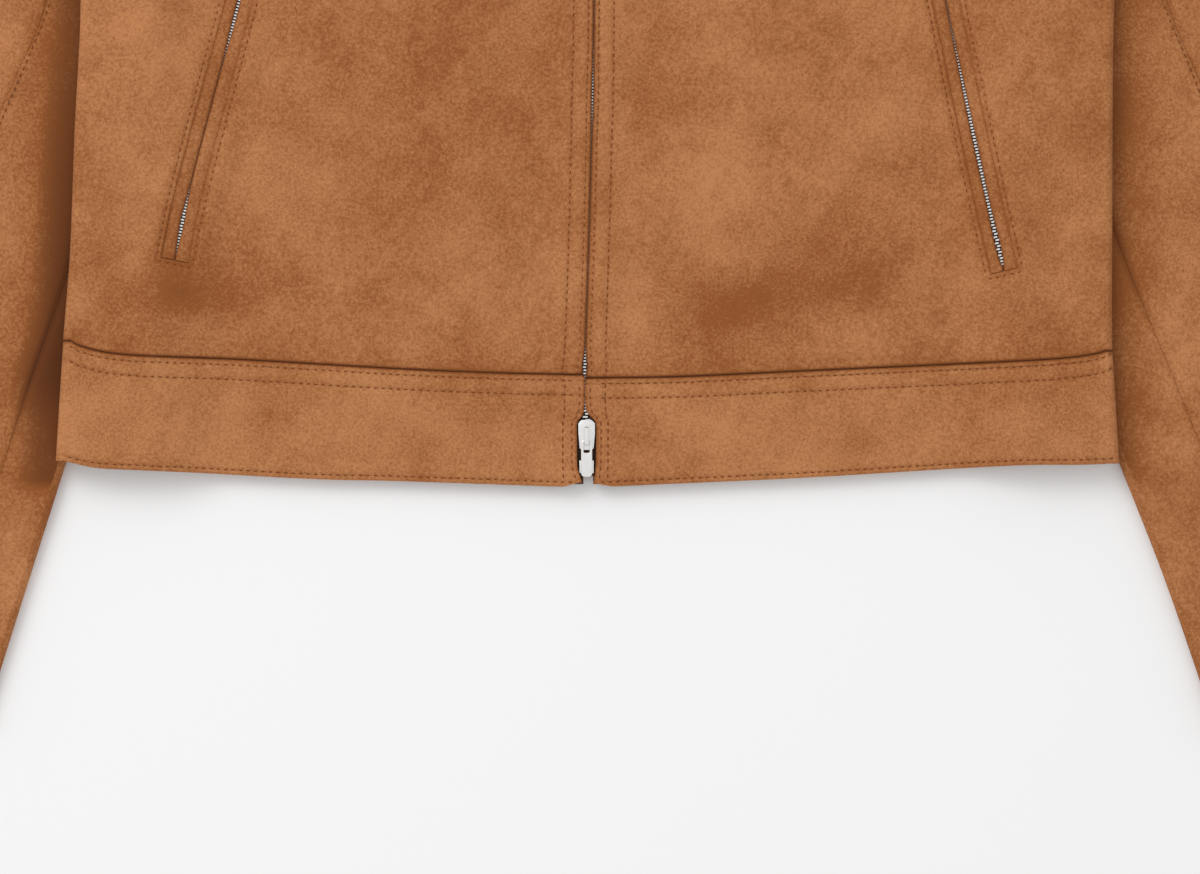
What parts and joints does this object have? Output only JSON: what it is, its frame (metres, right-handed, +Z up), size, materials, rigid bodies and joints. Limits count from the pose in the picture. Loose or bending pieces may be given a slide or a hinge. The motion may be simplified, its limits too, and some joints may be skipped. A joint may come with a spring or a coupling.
{
  "type": "suede zip jacket",
  "caption": "Cropped suede zip jacket laid flat, with a stand collar, slanted zip pockets, a waistband and long sleeves.",
  "frame": {"origin": "on the surface that the jacket lies on, under the middle of its box", "axes": "+X towards the wearer's left, +Y towards the neck, +Z up off the surface"},
  "size_m": [0.788, 0.7126, 0.0154],
  "materials": {
    "suede": "tan suede with a short brushed nap",
    "zip_tape": "woven brown zip tape",
    "nickel": "polished nickel plate"
  },
  "bodies": {
    "jacket": {"front_left": "suede", "front_right": "suede", "back": "suede", "waistband_front_left": "suede", "waistband_front_right": "suede", "waistband_back": "suede", "collar": "suede", "sleeve_left_outer": "suede", "sleeve_left_middle": "suede", "sleeve_left_under": "suede", "sleeve_right_outer": "suede", "sleeve_right_middle": "suede", "sleeve_right_under": "suede", "pocket_left_lip_inner": "suede", "pocket_left_lip_outer": "suede", "pocket_right_lip_inner": "suede", "pocket_right_lip_outer": "suede", "zip_tape_left": "zip_tape", "zip_tape_right": "zip_tape", "pocket_left_zip_tape": "zip_tape", "pocket_right_zip_tape": "zip_tape", "zip_box": "nickel", "zip_pin": "nickel", "zip_lower_slider": "nickel", "zip_upper_slider": "nickel", "pocket_left_slider": "nickel", "pocket_right_slider": "nickel"},
    "zip_lower_pull": {"zip_lower_pull": "nickel"},
    "zip_upper_pull": {"zip_upper_pull": "nickel"},
    "pocket_left_pull": {"pocket_left_pull": "nickel"},
    "pocket_right_pull": {"pocket_right_pull": "nickel"}
  },
  "joints": [
    {"name": "zip_lower_pull_hinge", "type": "hinge", "parent": "jacket", "child": "zip_lower_pull", "pos_m": [-0.00146, -0.22619, 0.00775], "axis": [-1, 0, 0], "range_deg": [0, 150]},
    {"name": "zip_upper_pull_hinge", "type": "hinge", "parent": "jacket", "child": "zip_upper_pull", "pos_m": [0, 0.26491, 0.00775], "axis": [-1, 0, 0], "range_deg": [0, 138]},
    {"name": "pocket_left_pull_hinge", "type": "hinge", "parent": "jacket", "child": "pocket_left_pull", "pos_m": [0.15172, -0.00849, 0.00775], "axis": [-0.9841, -0.1776, 0], "range_deg": [0, 138]},
    {"name": "pocket_right_pull_hinge", "type": "hinge", "parent": "jacket", "child": "pocket_right_pull", "pos_m": [-0.14829, -0.00837, 0.00775], "axis": [-0.9747, 0.2234, 0], "range_deg": [0, 138]}
  ]
}
